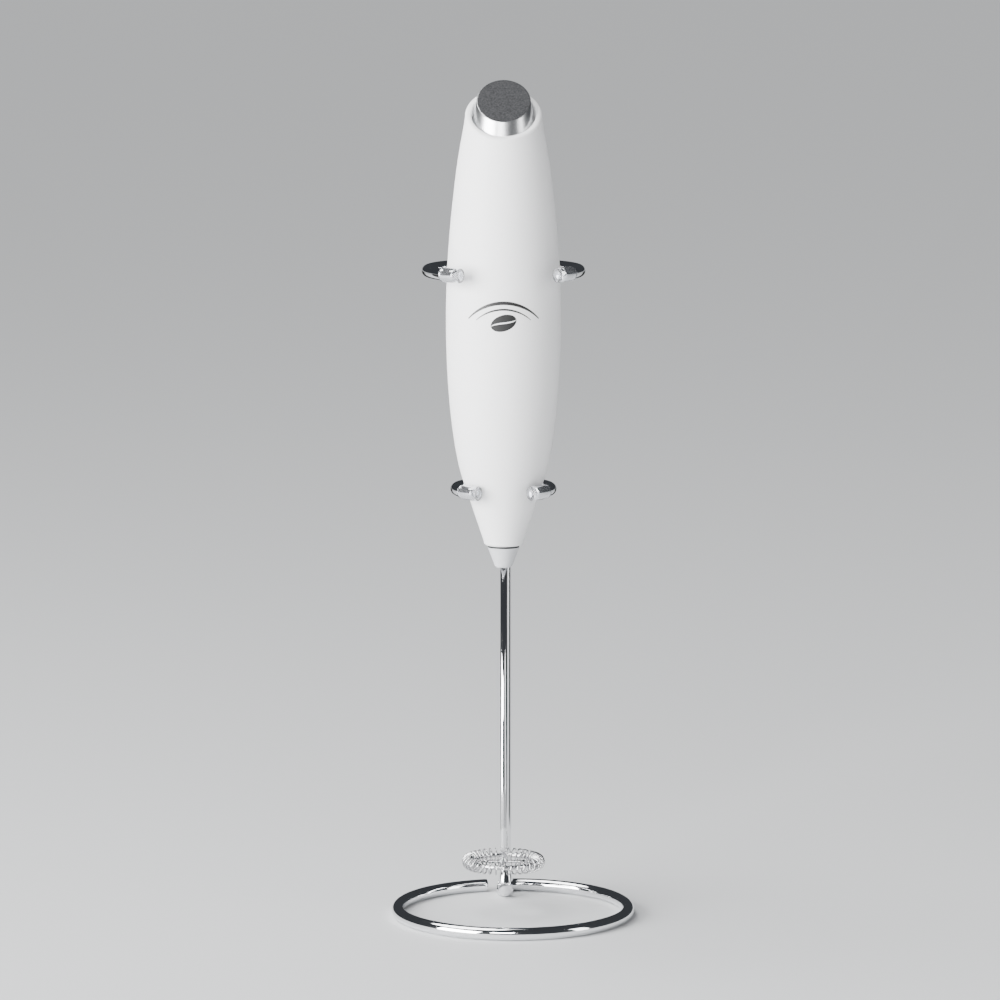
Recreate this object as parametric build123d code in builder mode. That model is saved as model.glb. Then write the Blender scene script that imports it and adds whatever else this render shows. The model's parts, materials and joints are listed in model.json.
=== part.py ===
from build123d import *
import math
import os

# A hand-held battery milk frother standing in its chromed wire stand.
# Millimetres, +Z up.  The origin is the centre of the base ring on the table.
# +Y points to the stand's post, so the open side of the holder rings faces -Y.

# ---------------------------------------------------------------- driving dimensions

# stand
BASE_R = 36.4                 # centre line of the base ring
BASE_WIRE_R = 2.0
BASE_CUT_ANGLE = 103.3        # free cut end of the base ring, degrees from +X
BASE_BEND_R = 4.5             # bend that turns the base wire forward to the post
BASE_BEND_X = -3.2
POST_R = 1.7
POST_X = -2.3
POST_TOP_Z = 207.0
HOLDER_WIRE_R = 1.85
UPPER_RING_R = 23.7
UPPER_RING_Z = 203.8
LOWER_RING_R = 14.8
LOWER_RING_Z = 135.2
UPPER_OPEN_LEFT = 37.5        # each tip's angle from the front, degrees
UPPER_OPEN_RIGHT = 48.0
LOWER_OPEN_LEFT = 37.0
LOWER_OPEN_RIGHT = 40.0
CAP_R = 2.3
CAP_LENGTH = 7.0
CAP_END = 1.3                 # closed end of a tip cap beyond the wire

# frother axis
FROTHER_X = -3.0
FROTHER_Y = 6.2
POST_Y = FROTHER_Y + 20.4

# handle barrel
BARREL_BOTTOM_Z = 117.3
WALL = 1.5
RIM_TILT = 32.0
RIM_Z = 252.9                 # height of the slanted rim on the button's axis
RIM_BORE_R = 10.0
LEDGE_Z = 243.2               # underside of the rim collar
COVER_SPLIT_Y = 6.5           # plane between the barrel and its battery cover
COVER_BOTTOM_Z = 158.0
PART_GAP = 0.3

# button
BUTTON_Y = FROTHER_Y - 1.1    # the button sits a little forward in the slanted rim
BUTTON_R = 9.6
BUTTON_FACE_TILT = 36.5
BUTTON_FACE_Z = 256.8         # height of the slanted face on the button's axis
BUTTON_FACE_R = 8.4
BUTTON_FLANGE_R = 10.7
BUTTON_FLANGE_Z = 241.5
BUTTON_HOLLOW_R = 7.6
BUTTON_ROOF_Z = 246.0
STEM_R = 2.4
STEM_BOTTOM_Z = 236.0
PLUNGER_R = 1.4

# nose
NOSE_BOTTOM_Z = 110.3
NOSE_TOP_Z = 116.7
NOSE_TOP_R = 5.0
NOSE_BOTTOM_R = 2.8
SPIGOT_R = 3.3
BUSH_R = 2.1
RUNNING_FIT = 0.05            # radial clearance of a turning or sliding shaft

# drive
SHAFT_R = 1.0
COUPLER_R = 2.0
COUPLER_Z = 120.5
COUPLER_LENGTH = 11.0
SHAFT_JOIN_Z = 125.8          # the motor shaft and the whisk shaft meet here
MOTOR_R = 10.0
MOTOR_FLAT = 7.55             # half width across the motor's flats
MOTOR_Z = 137.5
MOTOR_LENGTH = 20.0
MOTOR_WALL = 0.6
END_CAP_LENGTH = 3.5
ARMATURE_R = 6.8

# whisk
WHISK_Z = 15.9
COIL_R = 11.0                 # centre line of the ring that the coil is bent into
COIL_LOOP_R = 1.95
COIL_WIRE_R = 0.25
COIL_TURNS = 36
WHISK_RING_R = 10.05
WHISK_RING_WIRE_R = 0.7
SPOKE_R = 0.5

# batteries and tray
CELL_R = 7.15
CELL_BODY = 49.5
CELL_EDGE = 0.5
CELL_NUB = 1.0
CELL_X = 7.4
TRAY_Z = 165.3
TRAY_HALF_X = 11.0
TRAY_FRONT_Y = -8.9
TRAY_BACK_Y = 5.5
TRAY_PLATE = 1.2
CONTACT_T = 0.4
SPRING_LENGTH = 3.0
SWITCH_PLATE_Z = 225.0
SWITCH_PLATE_T = 1.4
SWITCH_SIDE = 8.5
SWITCH_HEIGHT = 7.5

# heights worked out from the above
BRIDGE_Z = TRAY_Z + TRAY_PLATE
CELL_STACK = CONTACT_T + CELL_BODY + CELL_NUB + SPRING_LENGTH
TOP_CONTACT_Z = BRIDGE_Z + CELL_STACK
TRAY_TOP_Z = TOP_CONTACT_Z + CONTACT_T
SWITCH_Z = SWITCH_PLATE_Z + SWITCH_PLATE_T
MOTOR_TOP_Z = MOTOR_Z + MOTOR_LENGTH
END_CAP_TOP_Z = MOTOR_TOP_Z + END_CAP_LENGTH

FRONT = 270.0                 # direction of -Y, degrees from +X
FROTHER_AXIS = Axis((FROTHER_X, FROTHER_Y, 0), (0, 0, 1))
FROTHER_SECTION = Plane(origin=(FROTHER_X, FROTHER_Y, 0), x_dir=(1, 0, 0), z_dir=(0, -1, 0))


def level(height):
    """Horizontal plane on the frother axis."""
    return Plane(origin=(FROTHER_X, FROTHER_Y, height))


def button_level(height):
    """Horizontal plane on the button's axis."""
    return Plane(origin=(FROTHER_X, BUTTON_Y, height))


def tilted(height, degrees):
    """Plane on the button's axis that slopes down to the front."""
    slope = math.radians(degrees)
    normal = (0, -math.sin(slope), math.cos(slope))
    return Plane(origin=(FROTHER_X, BUTTON_Y, height), x_dir=(1, 0, 0), z_dir=normal)


def radial(center, degrees):
    """Vertical plane that looks along a ring's wire at an angle: x outwards, y up."""
    turn = math.radians(degrees)
    outwards = (math.cos(turn), math.sin(turn), 0)
    return Plane(origin=center, x_dir=outwards, z_dir=(math.sin(turn), -math.cos(turn), 0))


def publish(builder, label):
    """Label a finished piece and write it to its own file."""
    builder.part.label = label
    export_step(builder.part, f"parts/{label}.step")


os.makedirs("parts", exist_ok=True)

# ================================================================ stand

# Base ring: a C of wire whose right-hand end turns forward to meet the post.
bend_x = BASE_BEND_X + BASE_BEND_R
bend_y = math.sqrt((BASE_R - BASE_BEND_R) ** 2 - bend_x ** 2)
bend_angle = math.degrees(math.atan2(bend_y, bend_x))
base_center = (0, 0, BASE_WIRE_R)
bend_center = (bend_x, bend_y, BASE_WIRE_R)

with BuildPart() as stand_base_ring:
    with BuildSketch(radial(base_center, BASE_CUT_ANGLE)):
        with Locations((BASE_R, 0)):
            Circle(BASE_WIRE_R)
    revolve(axis=Axis.Z, revolution_arc=360 - BASE_CUT_ANGLE + bend_angle)
    with BuildSketch(radial(bend_center, bend_angle)):
        with Locations((BASE_BEND_R, 0)):
            Circle(BASE_WIRE_R)
    revolve(axis=Axis(bend_center, (0, 0, 1)), revolution_arc=180 - bend_angle)
    with BuildSketch(Plane.XZ.offset(-bend_y)):
        with Locations((BASE_BEND_X, BASE_WIRE_R)):
            Circle(BASE_WIRE_R)
    extrude(amount=bend_y - POST_Y - POST_R)
publish(stand_base_ring, "stand_base_ring")

# Post: a straight wire with a pear-shaped foot where it is welded to the base wire.
FOOT_R = 2.45
FOOT_WIDE_Z = 2.9
FOOT_TOP_Z = 11.5
FOOT_BOTTOM_Z = 0.2

with BuildPart() as stand_post:
    with BuildSketch(Plane(origin=(POST_X, POST_Y, 0), x_dir=(1, 0, 0), z_dir=(0, -1, 0))):
        with BuildLine():
            foot = Spline(
                (0, FOOT_BOTTOM_Z),
                (FOOT_R, FOOT_WIDE_Z),
                (POST_R, FOOT_TOP_Z),
                tangents=[(1, 0), (0, 1)],
            )
            side = Line(foot @ 1, (POST_R, POST_TOP_Z - POST_R))
            crown = CenterArc((0, POST_TOP_Z - POST_R), POST_R, 0, 90)
            Line(crown @ 1, foot @ 0)
        make_face()
    revolve(axis=Axis((POST_X, POST_Y, 0), (0, 0, 1)))
publish(stand_post, "stand_post")


def holder_tips(open_left, open_right):
    """Angles of a holder ring's two tips, from its right tip round the back to its left."""
    return FRONT + open_right - 360, FRONT - open_left


upper_start, upper_end = holder_tips(UPPER_OPEN_LEFT, UPPER_OPEN_RIGHT)
lower_start, lower_end = holder_tips(LOWER_OPEN_LEFT, LOWER_OPEN_RIGHT)
upper_center = (FROTHER_X, FROTHER_Y, UPPER_RING_Z)
lower_center = (FROTHER_X, FROTHER_Y, LOWER_RING_Z)

with BuildPart() as upper_holder_ring:
    with BuildSketch(radial(upper_center, upper_start)):
        with Locations((UPPER_RING_R, 0)):
            Circle(HOLDER_WIRE_R)
    revolve(axis=FROTHER_AXIS, revolution_arc=upper_end - upper_start)
publish(upper_holder_ring, "upper_holder_ring")

with BuildPart() as lower_holder_ring:
    with BuildSketch(radial(lower_center, lower_start)):
        with Locations((LOWER_RING_R, 0)):
            Circle(HOLDER_WIRE_R)
    revolve(axis=FROTHER_AXIS, revolution_arc=lower_end - lower_start)
publish(lower_holder_ring, "lower_holder_ring")

# Stub: a short rod welded between the small ring and the post.
STUB_R = 1.5
STUB_SINK = 1.2               # how far the stub's ends sink into their neighbours

stub_front = FROTHER_Y + LOWER_RING_R + HOLDER_WIRE_R - STUB_SINK
stub_back = POST_Y - POST_R + STUB_SINK

with BuildPart() as lower_ring_stub:
    with BuildSketch(Plane.XZ.offset(-stub_front)):
        with Locations((POST_X, LOWER_RING_Z)):
            Circle(STUB_R)
    extrude(amount=stub_front - stub_back)
publish(lower_ring_stub, "lower_ring_stub")

# Tip caps: clear sleeves with a closed, rounded end, pushed over each wire end.
CAP_EDGE = 0.9
SLEEVE_OVERCUT = 1.2          # the wire hole is cut this much longer than the sleeve


def tip_cap(label, center, ring_r, tip_angle, outwards):
    """Cap on one tip; outwards is +1 where the angle grows past the tip, else -1."""
    end_turn = math.degrees(CAP_END / ring_r)
    grip_turn = math.degrees((CAP_LENGTH - CAP_END) / ring_r)
    end_angle = tip_angle + outwards * end_turn
    with BuildPart() as cap:
        with BuildSketch(radial(center, end_angle)):
            with Locations((ring_r, 0)):
                Circle(CAP_R)
        revolve(axis=FROTHER_AXIS, revolution_arc=-outwards * (end_turn + grip_turn))
        end_center = radial(center, end_angle).from_local_coords((ring_r, 0, 0))
        closed_end = cap.faces().sort_by_distance(end_center)[0]
        fillet(closed_end.edges(), CAP_EDGE)
        with BuildSketch(radial(center, tip_angle)):
            with Locations((ring_r, 0)):
                Circle(HOLDER_WIRE_R)
        revolve(axis=FROTHER_AXIS, revolution_arc=-outwards * grip_turn * SLEEVE_OVERCUT, mode=Mode.SUBTRACT)
    publish(cap, label)


tip_cap("upper_tip_cap_left", upper_center, UPPER_RING_R, upper_end, 1)
tip_cap("upper_tip_cap_right", upper_center, UPPER_RING_R, upper_start, -1)
tip_cap("lower_tip_cap_left", lower_center, LOWER_RING_R, lower_end, 1)
tip_cap("lower_tip_cap_right", lower_center, LOWER_RING_R, lower_start, -1)

# ================================================================ handle barrel

CONE_TOP = (12.7, 137.9)      # the straight cone ends here and the barrel's curve begins
CONE_BOTTOM = (6.2, 118.5)
CONE_RISE = (CONE_TOP[0] - CONE_BOTTOM[0], CONE_TOP[1] - CONE_BOTTOM[1])
BARREL_SIDE = [(15.5, 150.5), (17.35, 168.0), (18.0, 187.5), (17.4, 208.0), (15.75, 226.5), (13.45, 243.2)]
BARREL_CROWN = [(12.0, 251.9), (10.5, 261.8)]
FLOOR_T = 1.7
RIM_OUTER_FILLET = 1.1
RIM_INNER_FILLET = 0.5

cavity_floor = BARREL_BOTTOM_Z + FLOOR_T
inner_side = [(r - WALL, z) for r, z in BARREL_SIDE]

# The whole barrel, before it is divided into the handle shell and the battery cover.
with BuildPart() as barrel:
    with BuildSketch(FROTHER_SECTION):
        with BuildLine():
            base = Line((0, BARREL_BOTTOM_Z), (NOSE_TOP_R, BARREL_BOTTOM_Z))
            corner = TangentArc(base @ 1, CONE_BOTTOM, tangent=base % 1)
            cone = Line(corner @ 1, CONE_TOP)
            belly = Spline(CONE_TOP, *BARREL_SIDE, *BARREL_CROWN, tangents=[CONE_RISE, (-0.3, 1)])
            lid = Line(belly @ 1, (0, BARREL_CROWN[-1][1]))
            Line(lid @ 1, base @ 0)
        make_face()
    revolve(axis=FROTHER_AXIS)
    split(bisect_by=tilted(RIM_Z, RIM_TILT), keep=Keep.BOTTOM)
    with BuildSketch(FROTHER_SECTION):
        with BuildLine():
            floor = Line((0, cavity_floor), (CONE_BOTTOM[0] - WALL, cavity_floor))
            inner_cone = Line(floor @ 1, (CONE_TOP[0] - WALL, CONE_TOP[1]))
            inner_belly = Spline(inner_cone @ 1, *inner_side, tangents=[CONE_RISE, (-0.3, 1)])
            Polyline(inner_belly @ 1, (0, LEDGE_Z), floor @ 0)
        make_face()
    revolve(axis=FROTHER_AXIS, mode=Mode.SUBTRACT)
    with BuildSketch(button_level(LEDGE_Z)):
        Circle(RIM_BORE_R)
    extrude(amount=2 * RIM_BORE_R, mode=Mode.SUBTRACT)
    with BuildSketch(level(BARREL_BOTTOM_Z)):
        Circle(SPIGOT_R)
    extrude(amount=FLOOR_T, mode=Mode.SUBTRACT)
    rim_face = barrel.faces().filter_by(tilted(RIM_Z, RIM_TILT)).sort_by(Axis.Z)[-1]
    fillet(rim_face.edges().sort_by(SortBy.LENGTH)[-1], RIM_OUTER_FILLET)
    inner_edge = barrel.edges().filter_by(GeomType.ELLIPSE).sort_by(SortBy.LENGTH)[-1]
    fillet(inner_edge, RIM_INNER_FILLET)

cover_depth = 20.0            # reaches past the back of the barrel
cover_height = 110.0          # reaches past the top of the rim
cover_width = 40.0

with BuildPart() as handle_shell:
    add(barrel.part)
    with Locations((FROTHER_X, FROTHER_Y + COVER_SPLIT_Y, COVER_BOTTOM_Z)):
        Box(
            cover_width,
            cover_depth,
            cover_height,
            align=(Align.CENTER, Align.MIN, Align.MIN),
            mode=Mode.SUBTRACT,
        )
publish(handle_shell, "handle_shell")

# Battery cover: the back of the barrel.  A tongue tucks inside the shell's lower edge.
TONGUE_R = 13.7
TONGUE_T = 0.8
TONGUE_BOTTOM_Z = 153.0
TONGUE_TOP_Z = 162.5
TONGUE_HALF_X = 6.0
TONGUE_FOOT_R = 15.6

with BuildPart() as battery_cover:
    add(barrel.part)
    with Locations((FROTHER_X, FROTHER_Y + COVER_SPLIT_Y + PART_GAP, COVER_BOTTOM_Z + PART_GAP)):
        Box(
            cover_width,
            cover_depth,
            cover_height,
            align=(Align.CENTER, Align.MIN, Align.MIN),
            mode=Mode.INTERSECT,
        )
    with BuildSketch(level(TONGUE_BOTTOM_Z)):
        Circle(TONGUE_R)
        Circle(TONGUE_R - TONGUE_T, mode=Mode.SUBTRACT)
        with Locations((0, TONGUE_R)):
            Rectangle(2 * TONGUE_HALF_X, TONGUE_R, mode=Mode.INTERSECT)
    extrude(amount=TONGUE_TOP_Z - TONGUE_BOTTOM_Z)
    with BuildSketch(level(TONGUE_TOP_Z - 2 * TONGUE_T)):
        Circle(TONGUE_FOOT_R)
        Circle(TONGUE_R - TONGUE_T, mode=Mode.SUBTRACT)
        with Locations((0, TONGUE_R)):
            Rectangle(2 * TONGUE_HALF_X, TONGUE_R, mode=Mode.INTERSECT)
    extrude(amount=2 * TONGUE_T)
publish(battery_cover, "battery_cover")

# ================================================================ nose

SEAL_R = 4.9
NOSE_EDGE = 0.5
SPIGOT_TOP_Z = 120.0
NOSE_MOUTH_R = 1.5
BUSH_BOTTOM_Z = 112.0
BUSH_TOP_Z = 119.6

with BuildPart() as nose_cone:
    with BuildSketch(FROTHER_SECTION):
        with BuildLine():
            Polyline(
                (NOSE_MOUTH_R, NOSE_BOTTOM_Z),
                (NOSE_BOTTOM_R - NOSE_EDGE, NOSE_BOTTOM_Z),
                (NOSE_BOTTOM_R, NOSE_BOTTOM_Z + NOSE_EDGE),
                (NOSE_TOP_R, NOSE_TOP_Z),
                (SPIGOT_R, NOSE_TOP_Z),
                (SPIGOT_R, SPIGOT_TOP_Z),
                (BUSH_R, SPIGOT_TOP_Z),
                (BUSH_R, BUSH_BOTTOM_Z),
                (NOSE_MOUTH_R, BUSH_BOTTOM_Z),
                close=True,
            )
        make_face()
    revolve(axis=FROTHER_AXIS)
publish(nose_cone, "nose_cone")

with BuildPart() as nose_seal:
    with BuildSketch(level(NOSE_TOP_Z)):
        Circle(SEAL_R)
        Circle(SPIGOT_R, mode=Mode.SUBTRACT)
    extrude(amount=BARREL_BOTTOM_Z - NOSE_TOP_Z)
publish(nose_seal, "nose_seal")

with BuildPart() as nose_bush:
    with BuildSketch(level(BUSH_BOTTOM_Z)):
        Circle(BUSH_R)
        Circle(SHAFT_R + RUNNING_FIT, mode=Mode.SUBTRACT)
    extrude(amount=BUSH_TOP_Z - BUSH_BOTTOM_Z)
publish(nose_bush, "nose_bush")

# ================================================================ button

BUTTON_SHOULDER_Z = 250.3     # the button's sides start to lean in here, on the axis
BUTTON_FACE_EDGE = 0.3
FLANGE_T = 1.5
STEM_BORE_TOP_Z = 240.0

shoulder_plane = tilted(BUTTON_SHOULDER_Z, RIM_TILT)
face_plane = tilted(BUTTON_FACE_Z, BUTTON_FACE_TILT)
shoulder_length = BUTTON_R / math.cos(math.radians(RIM_TILT))
face_length = BUTTON_FACE_R / math.cos(math.radians(BUTTON_FACE_TILT))

with BuildPart() as push_button:
    with BuildSketch(button_level(BUTTON_FLANGE_Z)):
        Circle(BUTTON_R)
    extrude(amount=BUTTON_FACE_Z + BUTTON_R - BUTTON_FLANGE_Z)
    split(bisect_by=shoulder_plane, keep=Keep.BOTTOM)
    with BuildSketch(shoulder_plane):
        Ellipse(BUTTON_R, shoulder_length)
    with BuildSketch(face_plane):
        Ellipse(BUTTON_FACE_R, face_length)
    loft()
    face_edges = push_button.faces().filter_by(face_plane).sort_by(Axis.Z)[-1].edges()
    fillet(face_edges, BUTTON_FACE_EDGE)
    with BuildSketch(button_level(BUTTON_FLANGE_Z)):
        Circle(BUTTON_FLANGE_R)
    extrude(amount=FLANGE_T)
    with BuildSketch(level(BUTTON_FLANGE_Z)):
        Circle(BUTTON_HOLLOW_R)
    extrude(amount=BUTTON_ROOF_Z - BUTTON_FLANGE_Z, mode=Mode.SUBTRACT)
    with BuildSketch(level(STEM_BOTTOM_Z)):
        Circle(STEM_R)
    extrude(amount=BUTTON_ROOF_Z - STEM_BOTTOM_Z)
    with BuildSketch(level(STEM_BOTTOM_Z)):
        Circle(PLUNGER_R)
    extrude(amount=STEM_BORE_TOP_Z - STEM_BOTTOM_Z, mode=Mode.SUBTRACT)
publish(push_button, "push_button")

# ================================================================ switch

PLUNGER_BOTTOM_Z = 231.0
SWITCH_CORNER_R = 0.6
WELL_BOTTOM_Z = 229.0
RETURN_SPRING_R = 6.9
RETURN_SPRING_WIRE_R = 0.3
RETURN_SPRING_TURNS = 7
SCREW_X = 9.0
SCREW_Y = -3.0
SCREW_R = 0.8
SCREW_HEAD_R = 1.5
SCREW_HEAD_T = 0.8
PILLAR_R = 1.8

with BuildPart() as switch_plunger:
    with BuildSketch(level(PLUNGER_BOTTOM_Z)):
        Circle(PLUNGER_R)
    extrude(amount=STEM_BORE_TOP_Z - PLUNGER_BOTTOM_Z)
publish(switch_plunger, "switch_plunger")

with BuildPart() as switch_housing:
    with BuildSketch(level(SWITCH_Z)):
        RectangleRounded(SWITCH_SIDE, SWITCH_SIDE, SWITCH_CORNER_R)
    extrude(amount=SWITCH_HEIGHT)
    with BuildSketch(level(WELL_BOTTOM_Z)):
        Circle(PLUNGER_R + RUNNING_FIT)
    extrude(amount=SWITCH_Z + SWITCH_HEIGHT - WELL_BOTTOM_Z, mode=Mode.SUBTRACT)
publish(switch_housing, "switch_housing")

with BuildPart() as switch_plate:
    with BuildSketch(level(SWITCH_PLATE_Z)):
        Circle(SCREW_X + 2 * SCREW_HEAD_R)
        with Locations((0, TRAY_BACK_Y + SCREW_X)):
            Rectangle(4 * SCREW_X, 2 * SCREW_X, mode=Mode.SUBTRACT)
        with Locations((-SCREW_X, SCREW_Y), (SCREW_X, SCREW_Y)):
            Circle(SCREW_R, mode=Mode.SUBTRACT)
    extrude(amount=SWITCH_PLATE_T)
publish(switch_plate, "switch_plate")

with BuildPart() as switch_screws:
    with BuildSketch(level(TRAY_TOP_Z)):
        with Locations((-SCREW_X, SCREW_Y), (SCREW_X, SCREW_Y)):
            Circle(SCREW_R)
    extrude(amount=SWITCH_Z - TRAY_TOP_Z)
    with BuildSketch(level(SWITCH_Z)):
        with Locations((-SCREW_X, SCREW_Y), (SCREW_X, SCREW_Y)):
            Circle(SCREW_HEAD_R)
    extrude(amount=SCREW_HEAD_T)
publish(switch_screws, "switch_screws")

spring_bottom = SWITCH_Z + RETURN_SPRING_WIRE_R
spring_top = BUTTON_ROOF_Z - RETURN_SPRING_WIRE_R
spring_height = spring_top - spring_bottom

with BuildPart() as button_spring:
    with BuildLine(level(spring_bottom)):
        spring_line = Helix(spring_height / RETURN_SPRING_TURNS, spring_height, RETURN_SPRING_R)
    with BuildSketch(Plane(origin=spring_line @ 0, z_dir=spring_line % 0)):
        Circle(RETURN_SPRING_WIRE_R)
    sweep(path=spring_line, is_frenet=True)
publish(button_spring, "button_spring")

# ================================================================ battery tray

with BuildPart() as battery_tray:
    with BuildSketch(level(TRAY_Z)):
        with Locations((0, (TRAY_FRONT_Y + TRAY_BACK_Y) / 2)):
            Rectangle(2 * TRAY_HALF_X, TRAY_BACK_Y - TRAY_FRONT_Y)
    extrude(amount=TRAY_PLATE)
    with BuildSketch(level(TRAY_TOP_Z)):
        with Locations((0, (TRAY_FRONT_Y + TRAY_BACK_Y) / 2)):
            Rectangle(2 * TRAY_HALF_X, TRAY_BACK_Y - TRAY_FRONT_Y)
    extrude(amount=TRAY_PLATE)
    with BuildSketch(level(TRAY_Z)):
        with Locations((0, TRAY_FRONT_Y + TRAY_PLATE / 2)):
            Rectangle(2 * TRAY_HALF_X, TRAY_PLATE)
    extrude(amount=TRAY_TOP_Z + TRAY_PLATE - TRAY_Z)
    with BuildSketch(level(TRAY_TOP_Z)):
        with Locations((-SCREW_X, SCREW_Y), (SCREW_X, SCREW_Y)):
            Circle(PILLAR_R)
    extrude(amount=SWITCH_PLATE_Z - TRAY_TOP_Z)
    with BuildSketch(level(TRAY_TOP_Z)):
        with Locations((-SCREW_X, SCREW_Y), (SCREW_X, SCREW_Y)):
            Circle(SCREW_R)
    extrude(amount=SWITCH_PLATE_Z - TRAY_TOP_Z, mode=Mode.SUBTRACT)
publish(battery_tray, "battery_tray")

NUB_R = 2.6


def battery_cell(label, x, bottom, nub_up):
    """One round cell; its nub is at the top or at the bottom."""
    nub_z = bottom + CELL_BODY if nub_up else bottom - CELL_NUB
    with BuildPart() as cell:
        with BuildSketch(level(bottom)):
            with Locations((x, 0)):
                Circle(CELL_R)
        extrude(amount=CELL_BODY)
        fillet(cell.edges(), CELL_EDGE)
        with BuildSketch(level(nub_z)):
            with Locations((x, 0)):
                Circle(NUB_R)
        extrude(amount=CELL_NUB)
    publish(cell, label)


battery_cell("battery_cell_left", -CELL_X, BRIDGE_Z + CONTACT_T + SPRING_LENGTH, True)
battery_cell("battery_cell_right", CELL_X, BRIDGE_Z + CONTACT_T + CELL_NUB, False)

CONTACT_SIDE = 9.0
CONTACT_SPRING_R = 2.6
CONTACT_WIRE_R = 0.25
CONTACT_TURNS = 3


def contact_spring(label, x, bottom):
    """Helical spring that presses on a cell's flat end."""
    length = SPRING_LENGTH - 2 * CONTACT_WIRE_R
    with BuildPart() as spring:
        with BuildLine(Plane(origin=(FROTHER_X + x, FROTHER_Y, bottom + CONTACT_WIRE_R))):
            coil_line = Helix(length / CONTACT_TURNS, length, CONTACT_SPRING_R)
        with BuildSketch(Plane(origin=coil_line @ 0, z_dir=coil_line % 0)):
            Circle(CONTACT_WIRE_R)
        sweep(path=coil_line, is_frenet=True)
    publish(spring, label)


contact_spring("bridge_spring", -CELL_X, BRIDGE_Z + CONTACT_T)
contact_spring("negative_spring", CELL_X, TOP_CONTACT_Z - SPRING_LENGTH)

with BuildPart() as battery_bridge:
    with BuildSketch(level(BRIDGE_Z)):
        Rectangle(2 * CELL_X + CONTACT_SIDE / 2, CONTACT_SIDE)
    extrude(amount=CONTACT_T)
publish(battery_bridge, "battery_bridge")

with BuildPart() as positive_contact:
    with BuildSketch(level(TOP_CONTACT_Z)):
        with Locations((-CELL_X + 1, 0)):
            Rectangle(CONTACT_SIDE - 2, CONTACT_SIDE)
    extrude(amount=CONTACT_T)
publish(positive_contact, "positive_contact")

with BuildPart() as negative_contact:
    with BuildSketch(level(TOP_CONTACT_Z)):
        with Locations((CELL_X - 1, 0)):
            Rectangle(CONTACT_SIDE - 2, CONTACT_SIDE)
    extrude(amount=CONTACT_T)
publish(negative_contact, "negative_contact")

# ================================================================ motor

BOSS_R = 3.05
CRADLE_FLOOR_T = 1.6
CRADLE_R = 10.75
CRADLE_TOP_Z = 151.0
MAGNET_INNER_R = 7.3
MAGNET_T = 1.9
MAGNET_Z = 140.0
MAGNET_LENGTH = 14.0
ARMATURE_Z = 141.0
ARMATURE_LENGTH = 12.0
SLOT_R = 1.9
SLOT_AT_R = 4.5
COMMUTATOR_R = 2.4
COMMUTATOR_Z = 154.4
COMMUTATOR_LENGTH = 2.8
BRUSH_GAP = 0.1
BRUSH_T = 0.6
BRUSH_WIDTH = 2.4
TERMINAL_X = 6.0
TERMINAL_HEIGHT = 2.6
TERMINAL_T = 0.5
TERMINAL_WIDTH = 2.4
END_CAP_ROOF_T = 0.8
SHAFT_END_GAP = 0.4           # free height above the motor shaft
CRADLE_FLOOR_GAP = 0.2
WINDING_OVERHANG = 1.0


def motor_outline(inset):
    """Round can with two flats, drawn smaller by the inset."""
    Circle(MOTOR_R - inset)
    Rectangle(2 * MOTOR_R, 2 * (MOTOR_FLAT - inset), mode=Mode.INTERSECT)


with BuildPart() as motor_can:
    with BuildSketch(level(MOTOR_Z)):
        motor_outline(0)
    extrude(amount=MOTOR_LENGTH)
    with BuildSketch(level(MOTOR_Z + MOTOR_WALL)):
        motor_outline(MOTOR_WALL)
    extrude(amount=MOTOR_LENGTH - MOTOR_WALL, mode=Mode.SUBTRACT)
    with BuildSketch(level(MOTOR_Z - CRADLE_FLOOR_T)):
        Circle(BOSS_R)
    extrude(amount=CRADLE_FLOOR_T + MOTOR_WALL)
    with BuildSketch(level(MOTOR_Z - CRADLE_FLOOR_T)):
        Circle(SHAFT_R + RUNNING_FIT)
    extrude(amount=CRADLE_FLOOR_T + MOTOR_WALL, mode=Mode.SUBTRACT)
publish(motor_can, "motor_can")

with BuildPart() as motor_end_cap:
    with BuildSketch(level(MOTOR_TOP_Z)):
        motor_outline(0)
    extrude(amount=END_CAP_LENGTH)
    with BuildSketch(level(MOTOR_TOP_Z)):
        Circle(SHAFT_R + RUNNING_FIT)
    extrude(amount=END_CAP_LENGTH - END_CAP_ROOF_T, mode=Mode.SUBTRACT)
publish(motor_end_cap, "motor_end_cap")

with BuildPart() as motor_magnets:
    with BuildSketch(level(MAGNET_Z)):
        Circle(MAGNET_INNER_R + MAGNET_T)
        Circle(MAGNET_INNER_R, mode=Mode.SUBTRACT)
        Rectangle(2 * MOTOR_R, MOTOR_FLAT, mode=Mode.INTERSECT)
    extrude(amount=MAGNET_LENGTH)
publish(motor_magnets, "motor_magnets")

with BuildPart() as motor_brushes:
    brush_y = COMMUTATOR_R + BRUSH_GAP
    with BuildSketch(level(COMMUTATOR_Z)):
        with Locations((0, brush_y + BRUSH_T / 2), (0, -brush_y - BRUSH_T / 2)):
            Rectangle(BRUSH_WIDTH, BRUSH_T)
    extrude(amount=MOTOR_TOP_Z - COMMUTATOR_Z)
publish(motor_brushes, "motor_brushes")

with BuildPart() as motor_terminals:
    with BuildSketch(level(END_CAP_TOP_Z)):
        with Locations((-TERMINAL_X, 0), (TERMINAL_X, 0)):
            Rectangle(TERMINAL_T, TERMINAL_WIDTH)
    extrude(amount=TERMINAL_HEIGHT)
publish(motor_terminals, "motor_terminals")

with BuildPart() as motor_cradle:
    with BuildSketch(level(MOTOR_Z - CRADLE_FLOOR_T)):
        Circle(MOTOR_R + CRADLE_FLOOR_GAP)
        Circle(BOSS_R + CRADLE_FLOOR_GAP, mode=Mode.SUBTRACT)
    extrude(amount=CRADLE_FLOOR_T)
    with BuildSketch(level(MOTOR_Z)):
        Circle(CRADLE_R)
        Circle(MOTOR_R, mode=Mode.SUBTRACT)
    extrude(amount=CRADLE_TOP_Z - MOTOR_Z)
publish(motor_cradle, "motor_cradle")

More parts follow.
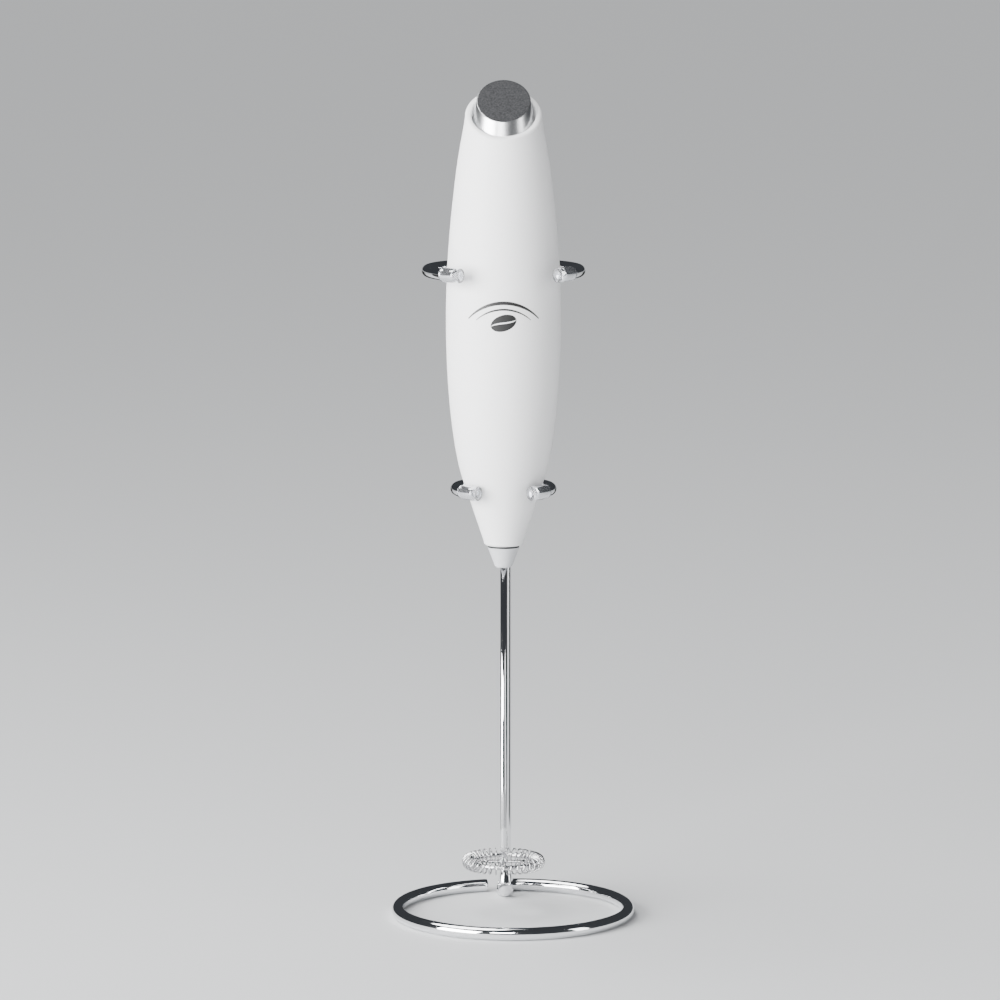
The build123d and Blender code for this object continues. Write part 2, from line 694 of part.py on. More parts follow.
# ================================================================ turning parts

with BuildPart() as motor_armature:
    with BuildSketch(level(ARMATURE_Z)):
        Circle(ARMATURE_R)
        with PolarLocations(SLOT_AT_R, 3):
            Circle(SLOT_R, mode=Mode.SUBTRACT)
        Circle(SHAFT_R, mode=Mode.SUBTRACT)
    extrude(amount=ARMATURE_LENGTH)
publish(motor_armature, "motor_armature")

with BuildPart() as armature_windings:
    with BuildSketch(level(ARMATURE_Z - WINDING_OVERHANG)):
        with PolarLocations(SLOT_AT_R, 3):
            Circle(SLOT_R)
    extrude(amount=ARMATURE_LENGTH + 2 * WINDING_OVERHANG)
publish(armature_windings, "armature_windings")

with BuildPart() as motor_commutator:
    with BuildSketch(level(COMMUTATOR_Z)):
        Circle(COMMUTATOR_R)
        Circle(SHAFT_R, mode=Mode.SUBTRACT)
    extrude(amount=COMMUTATOR_LENGTH)
publish(motor_commutator, "motor_commutator")

with BuildPart() as motor_shaft:
    with BuildSketch(level(SHAFT_JOIN_Z)):
        Circle(SHAFT_R)
    extrude(amount=END_CAP_TOP_Z - END_CAP_ROOF_T - SHAFT_END_GAP - SHAFT_JOIN_Z)
publish(motor_shaft, "motor_shaft")

with BuildPart() as shaft_coupler:
    with BuildSketch(level(COUPLER_Z)):
        Circle(COUPLER_R)
        Circle(SHAFT_R, mode=Mode.SUBTRACT)
    extrude(amount=COUPLER_LENGTH)
publish(shaft_coupler, "shaft_coupler")

SHAFT_TIP_EDGE = 0.4

whisk_shaft_bottom = WHISK_Z - SHAFT_R - SPOKE_R

with BuildPart() as whisk_shaft:
    with BuildSketch(level(whisk_shaft_bottom)):
        Circle(SHAFT_R)
    extrude(amount=SHAFT_JOIN_Z - whisk_shaft_bottom)
    fillet(whisk_shaft.edges().sort_by(Axis.Z)[0], SHAFT_TIP_EDGE)
    with BuildSketch(Plane(origin=(FROTHER_X, FROTHER_Y, WHISK_Z), x_dir=(0, 1, 0), z_dir=(1, 0, 0))):
        Circle(SPOKE_R)
    extrude(amount=SHAFT_R, both=True, mode=Mode.SUBTRACT)
publish(whisk_shaft, "whisk_shaft")

# Whisk ring: a ring of wire with one straight cross bar through the end of the shaft.
with BuildPart() as whisk_ring:
    with BuildSketch(radial((FROTHER_X, FROTHER_Y, WHISK_Z), 0)):
        with Locations((WHISK_RING_R, 0)):
            Circle(WHISK_RING_WIRE_R)
    revolve(axis=FROTHER_AXIS)
    with BuildSketch(Plane(origin=(FROTHER_X, FROTHER_Y, WHISK_Z), x_dir=(0, 1, 0), z_dir=(1, 0, 0))):
        Circle(SPOKE_R)
    extrude(amount=WHISK_RING_R, both=True)
publish(whisk_ring, "whisk_ring")

# Whisk coil: a spring bent into a closed ring around the whisk ring.
POINTS_PER_TURN = 8
END_GAP = 0.4                 # the spring's two ends stop this many points short of meeting


def coil_point(step):
    """Point on the coil's centre line, which winds round a circle."""
    around = 2 * math.pi * step / (COIL_TURNS * POINTS_PER_TURN)
    wind = 2 * math.pi * step / POINTS_PER_TURN
    reach = COIL_R + COIL_LOOP_R * math.cos(wind)
    return (reach * math.cos(around), reach * math.sin(around), COIL_LOOP_R * math.sin(wind))


coil_steps = COIL_TURNS * POINTS_PER_TURN

with BuildPart() as whisk_coil:
    with BuildLine(level(WHISK_Z)):
        coil_path = Spline(*[coil_point(i) for i in range(coil_steps)], coil_point(coil_steps - END_GAP))
    with BuildSketch(Plane(origin=coil_path @ 0, z_dir=coil_path % 0)):
        Circle(COIL_WIRE_R)
    sweep(path=coil_path, is_frenet=True)
publish(whisk_coil, "whisk_coil")

# ================================================================ leads

LEAD_R = 0.6
LEAD_FRONT_Y = -10.4
LEAD_BEND = 2.0


def lead(label, x, start, points):
    """Insulated wire on straight runs joined by arcs."""
    with BuildPart() as wire:
        with BuildLine(level(0)):
            route = FilletPolyline(start, *points, radius=LEAD_BEND)
        with BuildSketch(Plane(origin=route @ 0, z_dir=route % 0)):
            Circle(LEAD_R)
        sweep(path=route)
    publish(wire, label)


lead_top = SWITCH_PLATE_Z - LEAD_R
lead_low = TRAY_Z - 3 * LEAD_R

for side, lead_name in ((-1, "red_lead"), (1, "black_lead")):
    lead(
        lead_name,
        side,
        (side * 4, -4.6, lead_top),
        [
            (side * 4, LEAD_FRONT_Y, lead_top - 0.4),
            (side * 4, LEAD_FRONT_Y, lead_low),
            (side * (TERMINAL_X + 1.2), -2.0, lead_low - 0.4),
        ],
    )
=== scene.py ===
"""Looks of the milk frother in its wire stand: meshes, materials, print, floor, light, camera."""
import json
import math

import bpy
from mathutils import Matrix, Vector
from mathutils.bvhtree import BVHTree


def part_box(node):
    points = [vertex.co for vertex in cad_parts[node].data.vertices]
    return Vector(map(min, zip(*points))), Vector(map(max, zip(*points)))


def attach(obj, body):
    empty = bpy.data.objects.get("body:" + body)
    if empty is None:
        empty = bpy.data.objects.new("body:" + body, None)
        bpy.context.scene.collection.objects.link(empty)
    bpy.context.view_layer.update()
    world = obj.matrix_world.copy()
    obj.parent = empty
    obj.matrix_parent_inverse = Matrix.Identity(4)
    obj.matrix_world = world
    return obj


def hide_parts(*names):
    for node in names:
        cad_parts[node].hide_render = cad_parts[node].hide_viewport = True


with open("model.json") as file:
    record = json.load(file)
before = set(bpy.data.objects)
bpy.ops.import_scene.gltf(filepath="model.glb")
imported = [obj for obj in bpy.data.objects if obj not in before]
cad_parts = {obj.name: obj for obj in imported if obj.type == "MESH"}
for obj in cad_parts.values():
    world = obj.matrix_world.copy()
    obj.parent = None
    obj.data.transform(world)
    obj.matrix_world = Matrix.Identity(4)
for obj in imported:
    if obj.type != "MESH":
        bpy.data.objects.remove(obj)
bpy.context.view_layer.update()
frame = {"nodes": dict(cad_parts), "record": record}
nodes = frame["nodes"]

MM = 0.001
FRONT = math.radians(270)

# ---------------------------------------------------------------- places read from the frame


def centre(node):
    low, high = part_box(node)
    return (low + high) / 2


def wire_radius(node):
    low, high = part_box(node)
    return (high.z - low.z) / 2


shaft_low, shaft_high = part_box("whisk_shaft")
axis_x, axis_y, _ = centre("whisk_shaft")

# ---------------------------------------------------------------- mesh helpers


def make_object(name, points, faces, body, slot, replaced=()):
    """A smooth mesh piece that rides on a body and stands for CAD nodes."""
    mesh = bpy.data.meshes.new(name)
    mesh.from_pydata(points, [], faces)
    mesh.shade_smooth()
    piece = bpy.data.objects.new(name, mesh)
    bpy.context.scene.collection.objects.link(piece)
    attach(piece, body)
    if replaced:
        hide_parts(*replaced)
    return piece


def tube_mesh(path, radii, sides, closed=False):
    """Round tube along a path; radii is one radius for each point of the path."""
    count = len(path)
    points, faces = [], []
    normal = None
    for i, here in enumerate(path):
        before = path[i - 1] if closed or i else path[0]
        after = path[(i + 1) % count] if closed or i < count - 1 else path[-1]
        along = (after - before).normalized()
        if normal is None:
            normal = along.orthogonal().normalized()
        normal = (normal - along * normal.dot(along)).normalized()
        across = along.cross(normal)
        for s in range(sides):
            turn = 2 * math.pi * s / sides
            points.append(here + (normal * math.cos(turn) + across * math.sin(turn)) * radii[i])
    rings = count if closed else count - 1
    shift = 0
    if closed:
        ends = points[-sides:]
        shift = min(range(sides), key=lambda k: (points[k] - ends[0]).length)
    for i in range(rings):
        turned = shift if closed and i == count - 1 else 0
        for s in range(sides):
            a = i * sides + s
            b = i * sides + (s + 1) % sides
            c = (i + 1) % count * sides + (s + 1 + turned) % sides
            d = (i + 1) % count * sides + (s + turned) % sides
            faces.append((a, b, c, d))
    if not closed:
        faces.append(tuple(range(sides - 1, -1, -1)))
        faces.append(tuple(range((count - 1) * sides, count * sides)))
    return points, faces


def rounded_ends(path, radius, edge, steps=5):
    """Adds the points that round both ends of a wire over an edge, with a radius for each point."""
    ends = []
    for tip, inner in ((path[0], path[1]), (path[-1], path[-2])):
        inwards = (inner - tip).normalized()
        rounding = []
        for k in range(steps):
            turn = math.pi / 2 * k / steps
            drop = edge * (1 - math.sin(turn))
            rounding.append((tip + inwards * edge * (1 - math.cos(math.pi / 2 - turn)), radius - drop))
        ends.append(rounding)
    middle = [(p, radius) for p in path if min((p - path[0]).length, (p - path[-1]).length) > edge]
    full = ends[0] + middle + ends[1][::-1]
    return [p for p, _ in full], [r for _, r in full]


def arc(mid, radius, start, end, steps):
    """Points of a level arc, angles in radians from +X."""
    turns = [start + (end - start) * k / steps for k in range(steps + 1)]
    return [mid + Vector((radius * math.cos(t), radius * math.sin(t), 0)) for t in turns]


def lathe_mesh(profile, x, y, sides):
    """Turned shape from a list of (radius, height)."""
    points, faces = [], []
    for r, z in profile:
        for s in range(sides):
            turn = 2 * math.pi * s / sides
            points.append(Vector((x + r * math.cos(turn), y + r * math.sin(turn), z)))
    for i in range(len(profile) - 1):
        for s in range(sides):
            t = (s + 1) % sides
            faces.append((i * sides + s, i * sides + t, (i + 1) * sides + t, (i + 1) * sides + s))
    faces.append(tuple(range(sides - 1, -1, -1)))
    last = (len(profile) - 1) * sides
    faces.append(tuple(range(last, last + sides)))
    return points, faces


# ---------------------------------------------------------------- materials


def material(name, color, roughness, metallic=0.0, **extra):
    """Principled material; returns its node tree, shader and the material."""
    mat = bpy.data.materials.new(name)
    mat.use_nodes = True
    shader = mat.node_tree.nodes["Principled BSDF"]
    shader.inputs["Base Color"].default_value = (*color, 1)
    shader.inputs["Roughness"].default_value = roughness
    shader.inputs["Metallic"].default_value = metallic
    for socket, value in extra.items():
        shader.inputs[socket.replace("_", " ")].default_value = value
    return mat.node_tree, shader, mat


def noise(tree, scale, detail=3.0):
    """Noise in the object's own coordinates; scale is features per metre."""
    coords = tree.nodes.new("ShaderNodeTexCoord")
    texture = tree.nodes.new("ShaderNodeTexNoise")
    texture.inputs["Scale"].default_value = scale
    texture.inputs["Detail"].default_value = detail
    tree.links.new(coords.outputs["Object"], texture.inputs["Vector"])
    return texture.outputs["Fac"]


def spread(tree, value, low, high):
    """Maps a 0..1 value to low..high."""
    node = tree.nodes.new("ShaderNodeMapRange")
    node.inputs["To Min"].default_value = low
    node.inputs["To Max"].default_value = high
    tree.links.new(value, node.inputs["Value"])
    return node.outputs["Result"]


def bump(tree, shader, height, distance, strength=1.0):
    node = tree.nodes.new("ShaderNodeBump")
    node.inputs["Distance"].default_value = distance
    node.inputs["Strength"].default_value = strength
    tree.links.new(height, node.inputs["Height"])
    tree.links.new(node.outputs["Normal"], shader.inputs["Normal"])


def vary_color(tree, shader, value, dark, light):
    """Colour that wanders between two tones."""
    mix = tree.nodes.new("ShaderNodeMix")
    mix.data_type = "RGBA"
    mix.inputs["A"].default_value = (*dark, 1)
    mix.inputs["B"].default_value = (*light, 1)
    tree.links.new(value, mix.inputs["Factor"])
    tree.links.new(mix.outputs["Result"], shader.inputs["Base Color"])


def chrome():
    """Polished plate with the faint ripple and smudges of drawn wire."""
    tree, shader, mat = material("chrome", (0.84, 0.845, 0.86), 0.05, 1.0)
    tree.links.new(spread(tree, noise(tree, 90.0), 0.03, 0.11), shader.inputs["Roughness"])
    bump(tree, shader, noise(tree, 260.0, 1.0), 0.00002, 0.5)
    return mat


def soft_touch(name, dark, light):
    """Matte soft-touch lacquer with a very fine powdery grain."""
    tree, shader, mat = material(name, light, 0.5, Sheen_Weight=0.12, Specular_IOR_Level=0.35)
    grain = noise(tree, 5200.0, 2.0)
    vary_color(tree, shader, noise(tree, 2600.0, 4.0), dark, light)
    tree.links.new(spread(tree, noise(tree, 60.0), 0.44, 0.58), shader.inputs["Roughness"])
    bump(tree, shader, grain, 0.00003, 0.6)
    return mat


def moulded(name, color, roughness, grain_scale=2400.0):
    """Moulded plastic or rubber with a fine spark-eroded grain."""
    tree, shader, mat = material(name, color, roughness)
    dark = tuple(c * 0.88 for c in color)
    vary_color(tree, shader, noise(tree, 700.0), dark, color)
    shine = spread(tree, noise(tree, 150.0), roughness * 0.85, roughness * 1.15)
    tree.links.new(shine, shader.inputs["Roughness"])
    bump(tree, shader, noise(tree, grain_scale), 0.00003, 0.5)
    return mat


def plain_metal(name, color, roughness):
    """Small metal parts: plated, turned or drawn."""
    tree, shader, mat = material(name, color, roughness, 1.0)
    shine = spread(tree, noise(tree, 500.0), roughness * 0.7, roughness * 1.3)
    tree.links.new(shine, shader.inputs["Roughness"])
    bump(tree, shader, noise(tree, 1800.0), 0.00001, 0.5)
    return mat


FACE_TILT = math.radians(36.5)     # slant of the button's face
# Surfaces that look this squarely along the slant get the painted shade of the face.
SHADE_FROM, SHADE_FULL = 0.93, 0.98  # how squarely a surface must look along the slant to be face


def satin_button_painted_shade():
    """Bead-blasted metal; the slanted face gets painted shade, a colour darker than the sides."""
    tree, shader, mat = material("satin_button_painted_shade", (0.66, 0.67, 0.69), 0.3, 1.0)
    coords = tree.nodes.new("ShaderNodeTexCoord")
    facing = tree.nodes.new("ShaderNodeVectorMath")
    facing.operation = "DOT_PRODUCT"
    facing.inputs[1].default_value = (0, -math.sin(FACE_TILT), math.cos(FACE_TILT))
    tree.links.new(coords.outputs["Normal"], facing.inputs[0])
    # Mask of the slanted face, where shade is painted into the colour.
    painted_shade_mask = tree.nodes.new("ShaderNodeMapRange")
    painted_shade_mask.inputs["From Min"].default_value = SHADE_FROM
    painted_shade_mask.inputs["From Max"].default_value = SHADE_FULL
    tree.links.new(facing.outputs["Value"], painted_shade_mask.inputs["Value"])
    grain = noise(tree, 1700.0, 6.0)
    side = tree.nodes.new("ShaderNodeMix")
    face = tree.nodes.new("ShaderNodeMix")
    both = tree.nodes.new("ShaderNodeMix")
    for node in (side, face, both):
        node.data_type = "RGBA"
    side.inputs["A"].default_value = (0.60, 0.61, 0.62, 1)
    side.inputs["B"].default_value = (0.86, 0.87, 0.88, 1)
    # Painted shade: near-black colours for the slanted face.
    face.inputs["A"].default_value = (0.012, 0.012, 0.014, 1)
    face.inputs["B"].default_value = (0.13, 0.132, 0.137, 1)
    for node in (side, face):
        tree.links.new(grain, node.inputs["Factor"])
    tree.links.new(side.outputs["Result"], both.inputs["A"])
    tree.links.new(face.outputs["Result"], both.inputs["B"])
    tree.links.new(painted_shade_mask.outputs["Result"], both.inputs["Factor"])
    tree.links.new(both.outputs["Result"], shader.inputs["Base Color"])
    rough = tree.nodes.new("ShaderNodeMapRange")
    rough.inputs["To Min"].default_value = 0.30
    rough.inputs["To Max"].default_value = 0.55
    tree.links.new(painted_shade_mask.outputs["Result"], rough.inputs["Value"])
    tree.links.new(rough.outputs["Result"], shader.inputs["Roughness"])
    bump(tree, shader, grain, 0.00004, 0.5)
    return mat


def clear_vinyl():
    """Clear soft vinyl, a little cloudy."""
    tree, shader, mat = material(
        "clear_vinyl", (0.97, 0.98, 1.0), 0.03, Transmission_Weight=0.96, IOR=1.38
    )
    tree.links.new(spread(tree, noise(tree, 300.0, 1.0), 0.01, 0.06), shader.inputs["Roughness"])
    return mat


def spring_steel():
    """Drawn stainless wire, a little duller than the plated stand."""
    tree, shader, mat = material("spring_steel", (0.60, 0.60, 0.61), 0.14, 1.0)
    tree.links.new(spread(tree, noise(tree, 700.0), 0.10, 0.22), shader.inputs["Roughness"])
    bump(tree, shader, noise(tree, 2500.0, 1.0), 0.00001, 0.4)
    return mat


chrome_mat = chrome()
spring_mat = spring_steel()
finishes = {
    "chrome_wire": chrome_mat,
    "clear_cap": clear_vinyl(),
    "white_body": soft_touch("soft_touch_white", (0.86, 0.86, 0.865), (0.93, 0.93, 0.935)),
    "grey_nose": moulded("nose_grey", (0.60, 0.61, 0.63), 0.38),
    "black_seal": moulded("seal_black", (0.015, 0.015, 0.016), 0.55),
    "satin_metal": satin_button_painted_shade(),
    "dark_plastic": moulded("dark_plastic", (0.04, 0.04, 0.045), 0.45),
    "tray_plastic": moulded("tray_plastic", (0.72, 0.71, 0.68), 0.4),
    "cell_jacket": moulded("cell_jacket", (0.08, 0.16, 0.28), 0.25),
    "nickel": plain_metal("nickel", (0.72, 0.71, 0.68), 0.25),
    "brass": plain_metal("brass", (0.80, 0.60, 0.28), 0.22),
    "copper_wire": plain_metal("copper", (0.74, 0.38, 0.22), 0.3),
    "magnet": moulded("ferrite", (0.09, 0.09, 0.1), 0.5),
    "red_wire": moulded("red_insulation", (0.55, 0.03, 0.03), 0.4),
    "black_wire": moulded("black_insulation", (0.02, 0.02, 0.02), 0.4),
}


def paint(piece, finish):
    piece.data.materials.clear()
    piece.data.materials.append(finish)


for entry in frame["record"]["subparts"]:
    paint(nodes[entry["node"]], finishes[entry["material_slot"]])

# ---------------------------------------------------------------- stand wires

WIRE_SIDES = 32
CUT_EDGE = 0.35 * MM
BASE_CUT = math.radians(103.3)  # where the base ring's free end is
BEND_R = 4.5 * MM
BEND_X = -3.2 * MM
RING_STEPS = 240
BEND_STEPS = 24
HOLDER_STEPS = 160
CAP_STEPS = 24
CAP_SIDES = 40
TURNED_SIDES = 48

base_low, base_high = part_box("stand_base_ring")
base_wire = wire_radius("stand_base_ring")
base_r = (base_high.x - base_low.x) / 2 - base_wire
base_mid = Vector(((base_low.x + base_high.x) / 2, base_low.y + base_r + base_wire, base_wire))
post_low, post_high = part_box("stand_post")
post_x, post_y, _ = centre("stand_post")


def base_ring_path():
    """Round the ring from its free end, then forward to the post's foot."""
    turn_x = BEND_X + BEND_R
    turn_y = math.sqrt((base_r - BEND_R) ** 2 - turn_x**2)
    meet = math.atan2(turn_y, turn_x)
    path = arc(base_mid, base_r, BASE_CUT, meet + 2 * math.pi, RING_STEPS)
    bend_mid = base_mid + Vector((turn_x, turn_y, 0))
    path += arc(bend_mid, BEND_R, meet, math.pi, BEND_STEPS)[1:]
    path.append(Vector((BEND_X, post_y, base_wire)))
    return path


def add_wire(name, path, radius, body, replaced):
    points, radii = rounded_ends(path, radius, CUT_EDGE)
    piece = make_object(name, *tube_mesh(points, radii, WIRE_SIDES), body, "chrome_wire", replaced)
    paint(piece, chrome_mat)


add_wire("base_ring_wire", base_ring_path(), base_wire, "stand", ["stand_base_ring"])

CAP_R = 2.3 * MM
CAP_LENGTH = 7.0 * MM
CAP_END = 1.3 * MM
CAP_ROUND = 0.9 * MM


def add_cap(name, mid, radius, tip, outwards):
    """Clear sleeve over a wire end; outwards is +1 where the angle grows past the tip, else -1."""
    end = tip + outwards * CAP_END / radius
    path = arc(mid, radius, end - outwards * CAP_LENGTH / radius, end, CAP_STEPS)
    points, radii = rounded_ends(path, CAP_R, CAP_ROUND)
    cap = make_object(name + "_sleeve", *tube_mesh(points, radii, CAP_SIDES), "stand", "clear_cap", [name])
    paint(cap, finishes["clear_cap"])


# Each holder ring with the angles of its two tips, in degrees to the left and right of the front.
for level, left, right in (("upper", 37.5, 48), ("lower", 37, 40)):
    node = level + "_holder_ring"
    low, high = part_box(node)
    radius = (high.x - low.x) / 2 - wire_radius(node)
    mid = Vector((axis_x, axis_y, centre(node).z))
    start = FRONT + math.radians(right) - 2 * math.pi
    end = FRONT - math.radians(left)
    path = arc(mid, radius, start, end, HOLDER_STEPS)
    add_wire(level + "_ring_wire", path, wire_radius(node), "stand", [node])
    add_cap(level + "_tip_cap_left", mid, radius, end, 1)
    add_cap(level + "_tip_cap_right", mid, radius, start, -1)

# ---------------------------------------------------------------- post, with its pear-shaped foot

POST_R = 1.7 * MM
FOOT_R = (post_high.x - post_low.x) / 2
FOOT_RISE = 11.3 * MM
FOOT_WIDE = 0.24              # height of the foot's widest place, as a share of its rise
FOOT_STEPS = 12
TAPER_STEPS = 16
DOME_STEPS = 8
TIP_R = 1e-5                  # the dome ends in a circle this small


def post_profile():
    """Outline from the foot's underside, through its taper, to the domed top."""
    profile = []
    for k in range(1, FOOT_STEPS + 1):
        turn = k / FOOT_STEPS * math.pi / 2
        rise = FOOT_RISE * FOOT_WIDE * (1 - math.cos(turn))
        profile.append((FOOT_R * math.sin(turn), post_low.z + rise))
    for k in range(1, TAPER_STEPS + 1):
        share = k / TAPER_STEPS
        ease = share * share * (3 - 2 * share)
        height = FOOT_WIDE + (1 - FOOT_WIDE) * share
        profile.append((FOOT_R + (POST_R - FOOT_R) * ease, post_low.z + FOOT_RISE * height))
    for k in range(DOME_STEPS + 1):
        turn = math.pi / 2 * k / DOME_STEPS
        radius = max(POST_R * math.cos(turn), TIP_R)
        profile.append((radius, post_high.z - POST_R * (1 - math.sin(turn))))
    return profile


post = make_object(
    "post_wire",
    *lathe_mesh(post_profile(), post_x, post_y, TURNED_SIDES),
    "stand",
    "chrome_wire",
    ["stand_post"],
)
paint(post, chrome_mat)

# ---------------------------------------------------------------- whisk

COIL_TURNS = 36
STEPS_PER_TURN = 24
COIL_WIRE_R = 0.25 * MM
COIL_SIDES = 10
RING_SIDES = 20
SPOKE_R = 0.5 * MM
SPOKE_SIDES = 16
coil_low, coil_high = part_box("whisk_coil")
coil_mid = Vector((axis_x, axis_y, (coil_low.z + coil_high.z) / 2))
loop_r = (coil_high.z - coil_low.z) / 2 - COIL_WIRE_R
coil_r = (coil_high.y - coil_low.y) / 2 - loop_r - COIL_WIRE_R


def coil_path():
    """A spring bent into a closed ring."""
    steps = COIL_TURNS * STEPS_PER_TURN
    path = []
    for k in range(steps):
        around = 2 * math.pi * k / steps
        wind = COIL_TURNS * around
        reach = coil_r + loop_r * math.cos(wind)
        point = Vector((reach * math.cos(around), reach * math.sin(around), loop_r * math.sin(wind)))
        path.append(coil_mid + point)
    return path


points = coil_path()
coil = make_object(
    "coil_spring",
    *tube_mesh(points, [COIL_WIRE_R] * len(points), COIL_SIDES, closed=True),
    "rotor",
    "chrome_wire",
    ["whisk_coil"],
)
paint(coil, spring_mat)

ring_wire = wire_radius("whisk_ring")
ring_low, ring_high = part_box("whisk_ring")
ring_r = (ring_high.x - ring_low.x) / 2 - ring_wire
points = arc(centre("whisk_ring"), ring_r, 0, 2 * math.pi, 120)[:-1]
ring_points, ring_faces = tube_mesh(points, [ring_wire] * len(points), RING_SIDES, closed=True)
spoke_path = [centre("whisk_ring") + Vector((x * ring_r, 0, 0)) for x in (-1, -0.5, 0, 0.5, 1)]
spoke_points, spoke_faces = tube_mesh(spoke_path, [SPOKE_R] * len(spoke_path), SPOKE_SIDES)
offset = len(ring_points)
ring_faces += [tuple(i + offset for i in face) for face in spoke_faces]
whisk_ring = make_object(
    "whisk_ring_wire", ring_points + spoke_points, ring_faces, "rotor", "chrome_wire", ["whisk_ring"]
)
paint(whisk_ring, spring_mat)

SHAFT_R = (shaft_high.x - shaft_low.x) / 2
END_ROUND = 0.4 * MM
shaft_profile = [
    (SHAFT_R - END_ROUND * (1 - math.sin(a)), shaft_low.z + END_ROUND * (1 - math.cos(a)))
    for a in [math.pi / 2 * k / 5 for k in range(6)]
]
shaft_profile.append((SHAFT_R, shaft_high.z))
shaft = make_object(
    "shaft_rod",
    *lathe_mesh(shaft_profile, axis_x, axis_y, TURNED_SIDES),
    "rotor",
    "chrome_wire",
    ["whisk_shaft"],
)
paint(shaft, chrome_mat)

# ---------------------------------------------------------------- printed motif: a bean under two arcs

INK_HEIGHT = 0.05 * MM
MOTIF_TOP_Z = 195.2 * MM
STROKES = ((14.2, 50, 0.55), (12.2, 44, 0.3))  # radius, half angle in degrees, half width
STROKE_STEPS = 60
BEAN_DROP = 6.2 * MM
BEAN_TILT = math.radians(18)
BEAN_HALF_LENGTH = 4.1 * MM
BEAN_HALF_WIDTH = 2.5 * MM
CREASE_WAVE = 0.4 * MM
CREASE_HALF_WIDTH = 0.24 * MM
BEAN_STEPS = 40
shell_mesh = nodes["handle_shell"].data
shell_tree = BVHTree.FromPolygons(
    [v.co for v in shell_mesh.vertices], [tuple(p.vertices) for p in shell_mesh.polygons]
)


def on_shell(across, height):
    """Point just in front of the barrel's front surface."""
    start = Vector((axis_x + across, -1, height))
    hit, _, _, _ = shell_tree.ray_cast(start, Vector((0, 1, 0)))
    return hit + Vector((0, -INK_HEIGHT, 0))


def ribbon(middle, half_width, end_share):
    """Flat stroke along a list of (across, height); its ends are end_share as wide as its middle."""
    points, faces = [], []
    for i, (x, z) in enumerate(middle):
        x0, z0 = middle[max(i - 1, 0)]
        x1, z1 = middle[min(i + 1, len(middle) - 1)]
        length = math.hypot(x1 - x0, z1 - z0)
        nx, nz = -(z1 - z0) / length, (x1 - x0) / length
        share = i / (len(middle) - 1)
        width = half_width * (end_share + (1 - end_share) * math.sin(math.pi * share))
        points += [on_shell(x + nx * width, z + nz * width), on_shell(x - nx * width, z - nz * width)]
        if i:
            faces.append((2 * i - 2, 2 * i - 1, 2 * i + 1, 2 * i))
    return points, faces


def printed_motif():
    """Two curved strokes over a coffee bean with its crease left bare."""
    points, faces = [], []

    def join(new_points, new_faces):
        base = len(points)
        points.extend(new_points)
        faces.extend(tuple(i + base for i in f) for f in new_faces)

    arcs_centre_z = MOTIF_TOP_Z - STROKES[0][0] * MM
    for arc_r, half_turn, half_width in STROKES:
        middle = []
        for k in range(STROKE_STEPS + 1):
            turn = math.radians(half_turn * (2 * k / STROKE_STEPS - 1))
            height = arcs_centre_z + arc_r * MM * math.cos(turn)
            middle.append((arc_r * MM * math.sin(turn), height))
        join(*ribbon(middle, half_width * MM, 0.25))
    bean_z = MOTIF_TOP_Z - BEAN_DROP
    for side in (-1, 1):
        half = []
        for k in range(BEAN_STEPS + 1):
            turn = math.pi * k / BEAN_STEPS
            along = -BEAN_HALF_LENGTH * math.cos(turn)
            bulge = math.sin(turn)
            crease = CREASE_WAVE * math.sin(2 * turn) + side * CREASE_HALF_WIDTH * bulge
            outer = side * BEAN_HALF_WIDTH * bulge
            for across in (crease, outer):
                x = along * math.cos(BEAN_TILT) - across * math.sin(BEAN_TILT)
                z = along * math.sin(BEAN_TILT) + across * math.cos(BEAN_TILT)
                half.append(on_shell(x, bean_z + z))
        join(half, [(2 * k, 2 * k + 1, 2 * k + 3, 2 * k + 2) for k in range(BEAN_STEPS)])
    motif = make_object("printed_motif", points, faces, "frother", "black_wire")
    paint(motif, finishes["black_wire"])


printed_motif()

# ---------------------------------------------------------------- floor, light and camera

FLOOR_SIZE = 120.0
bpy.ops.mesh.primitive_plane_add(size=FLOOR_SIZE)
floor = bpy.context.active_object
floor.name = "floor"
paint(floor, material("pale_floor", (0.62, 0.63, 0.64), 0.7)[2])


def soft_box(name, location, width, height, watts):
    """Rectangular area light that points at the middle of the object."""
    light = bpy.data.lights.new(name, "AREA")
    light.energy = watts
    light.shape = "RECTANGLE"
    light.size = width
    light.size_y = height
    lamp = bpy.data.objects.new(name, light)
    lamp.location = location
    lamp.rotation_euler = (AIM - Vector(location)).to_track_quat("-Z", "Y").to_euler()
    bpy.context.scene.collection.objects.link(lamp)


AIM = Vector((0, 0, 0.14))
soft_box("key_left", (-1.05, -0.75, 0.42), 1.0, 0.95, 68)
soft_box("fill_right", (1.2, -0.5, 0.42), 0.35, 0.95, 6)
soft_box("front", (-0.35, -1.9, 1.1), 0.8, 0.5, 24)

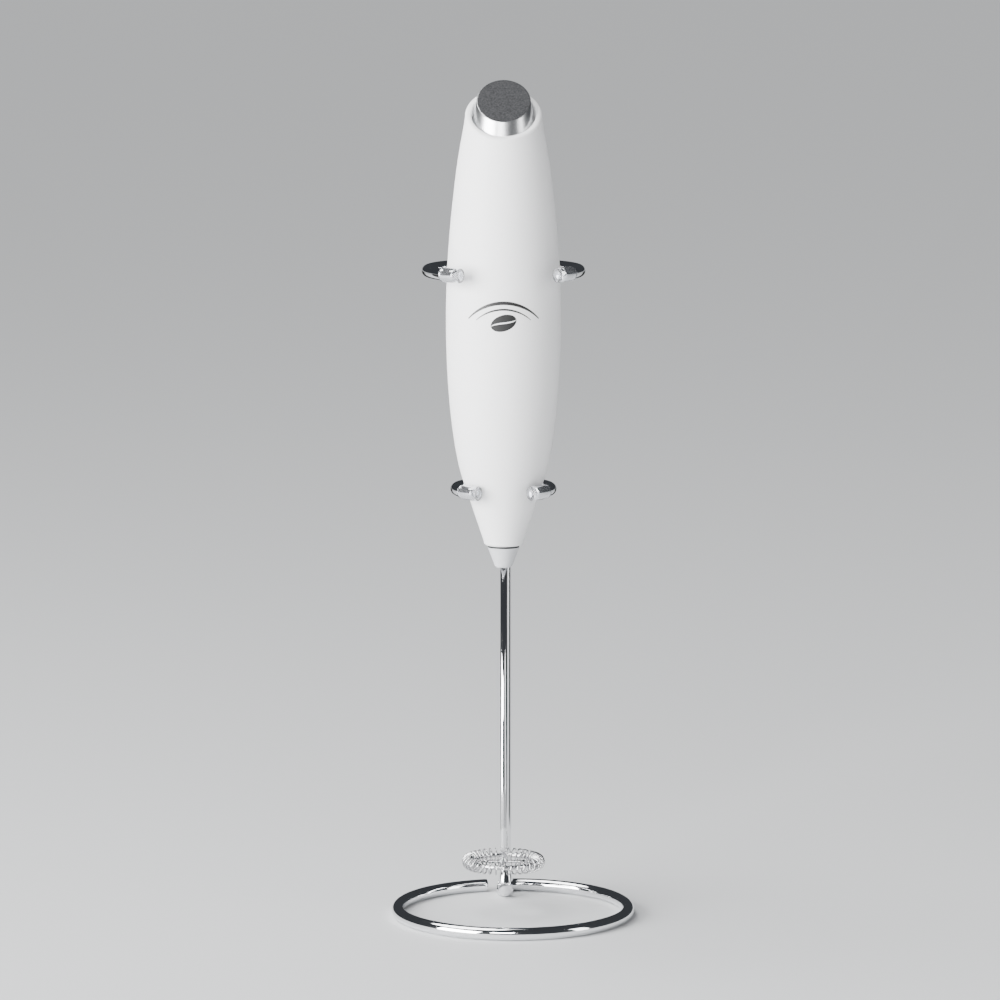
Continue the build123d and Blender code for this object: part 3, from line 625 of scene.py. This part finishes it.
sun_data = bpy.data.lights.new("overhead", "SUN")
sun_data.energy = 3.0
sun_data.angle = math.radians(40)
sun = bpy.data.objects.new("overhead", sun_data)
sun.rotation_euler = (math.radians(-8), math.radians(-22), 0)
bpy.context.scene.collection.objects.link(sun)


def dark_flag(name, corners):
    """Black studio card on the floor that only shows as a dark line in polished metal."""
    mesh = bpy.data.meshes.new(name)
    mesh.from_pydata(corners, [], [tuple(range(len(corners)))])
    flag = bpy.data.objects.new(name, mesh)
    bpy.context.scene.collection.objects.link(flag)
    paint(flag, flag_mat)
    for kind in ("camera", "diffuse", "transmission", "shadow", "volume_scatter"):
        setattr(flag, "visible_" + kind, False)


FLAG_Z = 0.002
FLAG_NEAR = 0.13
FLAG_FAR = 4.0
# Start and end of each card in degrees, counted from the front towards the right.
FLAG_ARCS = ((5, 38), (78, 118), (150, 172), (188, 212), (238, 275), (305, 325))
flag_mat = material("flag_black", (0.004, 0.004, 0.004), 0.9)[2]
for number, (start, end) in enumerate(FLAG_ARCS):
    corners = []
    for radius, degrees in ((FLAG_NEAR, start), (FLAG_FAR, start), (FLAG_FAR, end), (FLAG_NEAR, end)):
        turn = math.radians(degrees)
        corners.append((radius * math.sin(turn), -radius * math.cos(turn), FLAG_Z))
    dark_flag(f"flag_{number}", corners)

world = bpy.data.worlds.new("studio")
world.use_nodes = True
sky = world.node_tree.nodes["Background"]
sky.inputs["Color"].default_value = (0.8, 0.86, 0.95, 1)
sky.inputs["Strength"].default_value = 0.06
bpy.context.scene.world = world

CAMERA_DISTANCE = 1.505
CAMERA_HEIGHT = 0.3332
CAMERA_X = -0.0041
PITCH = math.radians(7.6)
LENS = 174.8
FAR_CLIP = 100.0

camera_data = bpy.data.cameras.new("camera")
camera_data.sensor_width = 36.0
camera_data.lens = LENS
camera_data.clip_end = FAR_CLIP
camera = bpy.data.objects.new("camera", camera_data)
camera.location = (CAMERA_X, -CAMERA_DISTANCE, CAMERA_HEIGHT)
camera.rotation_euler = (math.pi / 2 - PITCH, 0, 0)
bpy.context.scene.collection.objects.link(camera)
bpy.context.scene.camera = camera
